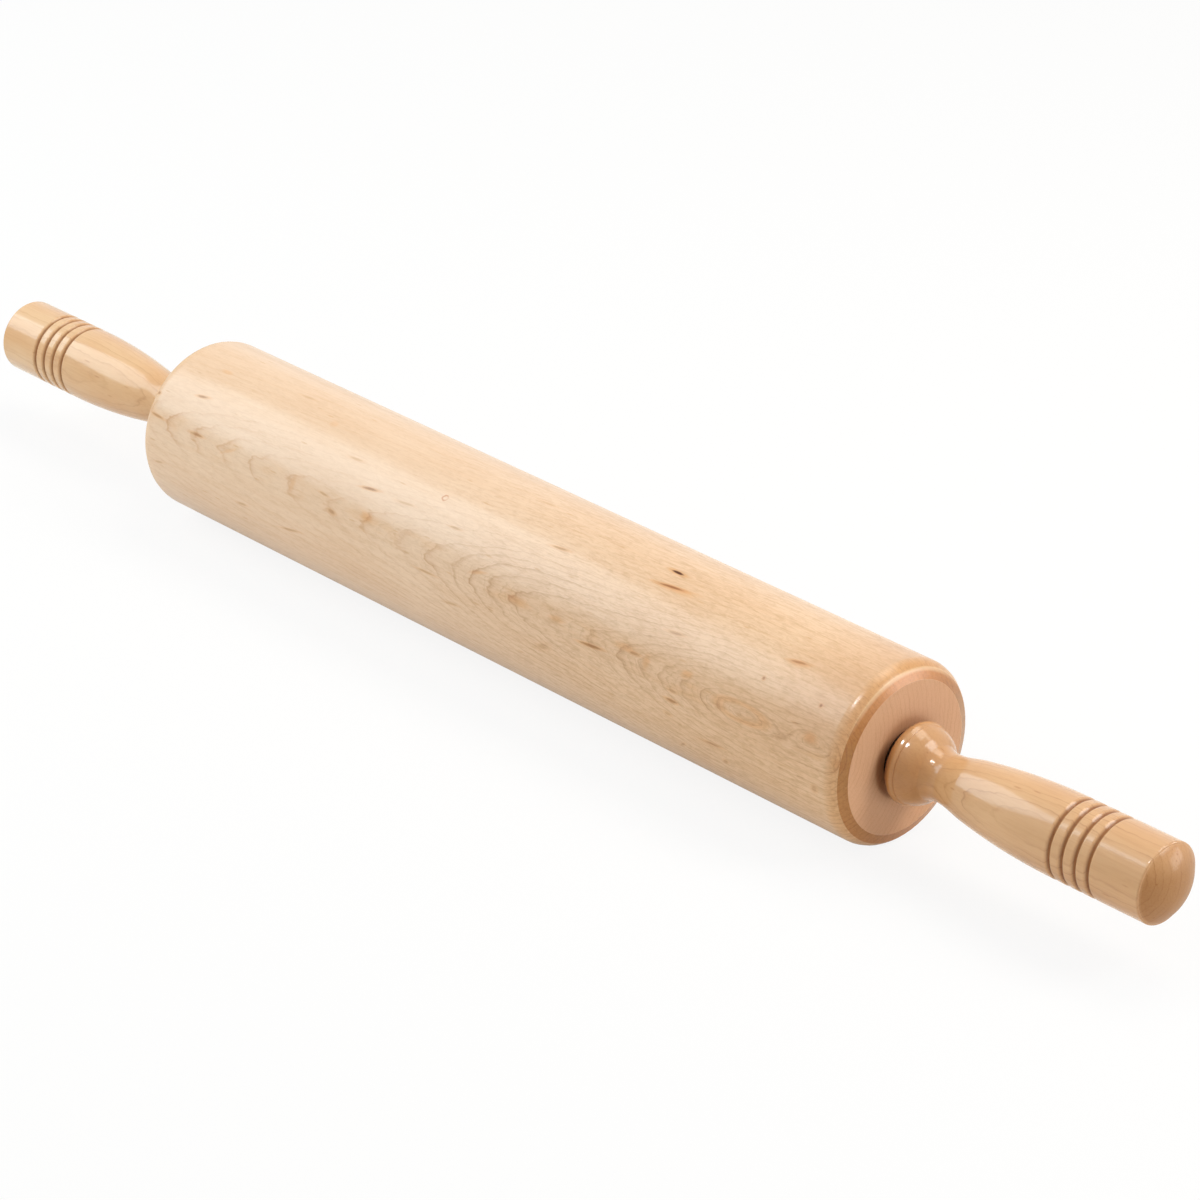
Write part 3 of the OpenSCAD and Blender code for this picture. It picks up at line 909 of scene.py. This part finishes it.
WHITE = (1.0, 1.0, 1.0, 1.0)
ROOM_TONE = (1.0, 0.975, 0.935, 1.0)
PAPER_TONE = (0.88, 0.87, 0.855, 1.0)
PAPER_SEEN, PAPER_IN_GLOSS = 0.88, 0.22
FLOOR_GAP = 0.00002
LAMPS = (
    # name, azimuth, elevation, distance, width, height, power, colour, whether it lights more than gloss
    ("window_light", -60, 36, 1.35, 0.95, 0.95, 9.2, (0.77, 0.92, 1.0), True),
    ("far_light", 118, 38, 1.20, 0.50, 0.50, 4.6, (1.0, 0.97, 0.93), True),
    ("back_light", 172, 68, 1.30, 0.90, 0.55, 5.65, (1.0, 0.945, 0.83), True),
    ("rim_gloss", 128, 10, 1.20, 0.60, 0.30, 3.6, (1.0, 0.96, 0.93), False),
    ("small_gloss", 2, 67, 1.20, 0.20, 0.16, 5.0, (1.0, 1.0, 1.0), False),
)


def view_axes(azimuth, elevation):
    """Right, up and backward of a lamp or camera that looks at the pin's middle.

    Azimuth 0 is in front of the pin and 90 degrees at its right.
    """
    level = math.cos(elevation)
    back = Vector((math.sin(azimuth) * level, -math.cos(azimuth) * level, math.sin(elevation)))
    right = Vector((math.cos(azimuth), math.sin(azimuth), 0))
    return right, back.cross(right), back


def set_up(name, data, place, axes):
    """Links a lamp or camera and puts it at a place, turned to its axes."""
    holder = bpy.data.objects.new(name, data)
    bpy.context.scene.collection.objects.link(holder)
    holder.matrix_world = Matrix.Translation(place) @ Matrix(axes).transposed().to_4x4()
    return holder


def soft_lamp(name, azimuth, elevation, distance, width, height, power, color, lights_matte):
    """A soft rectangular lamp that points at the pin's middle and that the camera doesn't see."""
    light = bpy.data.lights.new(name, "AREA")
    light.shape = "RECTANGLE"
    light.size = width
    light.size_y = height
    light.energy = power
    light.color = color
    axes = view_axes(math.radians(azimuth), math.radians(elevation))
    lamp = set_up(name, light, axes[-1] * distance, axes)
    lamp.visible_camera = False
    lamp.visible_diffuse = lights_matte


def paper_world(strength):
    """Soft light from all round, and plain white where the camera or a gloss sees the room."""
    world = bpy.data.worlds.new("paper_room")
    bpy.context.scene.world = world
    world.use_nodes = True
    nodes = Nodes(world.node_tree)
    path = nodes.add("LightPath", {}).outputs
    seen = nodes.most(path["Is Camera Ray"], path["Is Glossy Ray"], path["Is Transmission Ray"])
    room = nodes.add("Background", {"Color": ROOM_TONE, "Strength": strength}).outputs[0]
    white = nodes.add("Background", {"Color": WHITE, "Strength": 1.0}).outputs[0]
    surface = nodes.add("MixShader", {0: seen, 1: room, 2: white}).outputs[0]
    nodes.add("OutputWorld", {"Surface": surface})


def paper_floor():
    """White paper that stays white to the camera and keeps the pin's soft shadow."""
    paper = Recipe("floor_paper")
    path = paper.add("LightPath", {}).outputs
    seen = paper.most(path["Is Camera Ray"], path["Is Transmission Ray"])
    matte = paper.add("BsdfDiffuse", {"Color": PAPER_TONE}).outputs[0]
    white = paper.add("Emission", {"Color": WHITE, "Strength": 1.0}).outputs[0]
    share = paper.math("MULTIPLY_ADD", path["Is Glossy Ray"], PAPER_IN_GLOSS, paper.product(seen, PAPER_SEEN))
    surface = paper.add("MixShader", {0: share, 1: matte, 2: white}).outputs[0]
    paper.add("OutputMaterial", {0: surface})
    return paper.material


class ROLLPIN_OT_studio(bpy.types.Operator):
    """Set up the white floor, the soft lamps and the camera"""

    bl_idname = "rollpin.studio"
    bl_label = "Set Up Studio"

    def execute(self, context):
        studio = context.scene.rollpin_studio
        mesh = bmesh.new()
        bmesh.ops.create_grid(mesh, x_segments=1, y_segments=1, size=studio.floor_size)
        bmesh.ops.translate(mesh, vec=(0, 0, CAD_BOX[0][2] - FLOOR_GAP), verts=mesh.verts)
        floor = mesh_object("floor", mesh, paper_floor())

        paper_world(studio.room_light)
        for lamp in LAMPS:
            soft_lamp(*lamp)

        camera = bpy.data.cameras.new("camera")
        camera.lens = studio.lens
        camera.sensor_width = 36
        camera.clip_start = 0.05
        camera.clip_end = 50
        right, up, back = view_axes(studio.azimuth, studio.elevation)
        place = back * studio.distance + right * studio.shift_right + up * studio.shift_up
        context.scene.camera = set_up("camera", camera, place, (right, up, back))
        context.scene.view_settings.view_transform = "Standard"
        return {"FINISHED"}


class ROLLPIN_PT_panel(bpy.types.Panel):
    """Lists the rolling pin's operators and settings"""

    bl_idname = "ROLLPIN_PT_panel"
    bl_label = "Rolling Pin"
    bl_space_type = "VIEW_3D"
    bl_region_type = "UI"
    bl_category = "Rolling Pin"

    def draw(self, context):
        for operator, group in STEPS:
            box = self.layout.box()
            box.operator(operator.bl_idname)
            settings = getattr(context.scene, group)
            for name in settings.bl_rna.properties.keys():
                if name not in ("rna_type", "name"):
                    box.prop(settings, name)


GROUPS = {
    "rollpin_barrel": BarrelWood,
    "rollpin_handle": HandleWood,
    "rollpin_metals": Metals,
    "rollpin_studio": Studio,
}
STEPS = (
    (ROLLPIN_OT_barrel, "rollpin_barrel"),
    (ROLLPIN_OT_handles, "rollpin_handle"),
    (ROLLPIN_OT_rod, "rollpin_metals"),
    (ROLLPIN_OT_fittings, "rollpin_metals"),
    (ROLLPIN_OT_bearings, "rollpin_metals"),
    (ROLLPIN_OT_studio, "rollpin_studio"),
)


def register():
    for name, group in GROUPS.items():
        bpy.utils.register_class(group)
        setattr(bpy.types.Scene, name, bpy.props.PointerProperty(type=group))
    for operator, _ in STEPS:
        bpy.utils.register_class(operator)
    bpy.utils.register_class(ROLLPIN_PT_panel)


def unregister():
    bpy.utils.unregister_class(ROLLPIN_PT_panel)
    for operator, _ in reversed(STEPS):
        bpy.utils.unregister_class(operator)
    for name, group in reversed(GROUPS.items()):
        delattr(bpy.types.Scene, name)
        bpy.utils.unregister_class(group)


def main():
    register()
    bpy.ops.rollpin.barrel()
    bpy.ops.rollpin.handles()
    bpy.ops.rollpin.rod()
    bpy.ops.rollpin.fittings()
    bpy.ops.rollpin.bearings()
    bpy.ops.rollpin.studio()


if __name__ == "__main__":
    main()
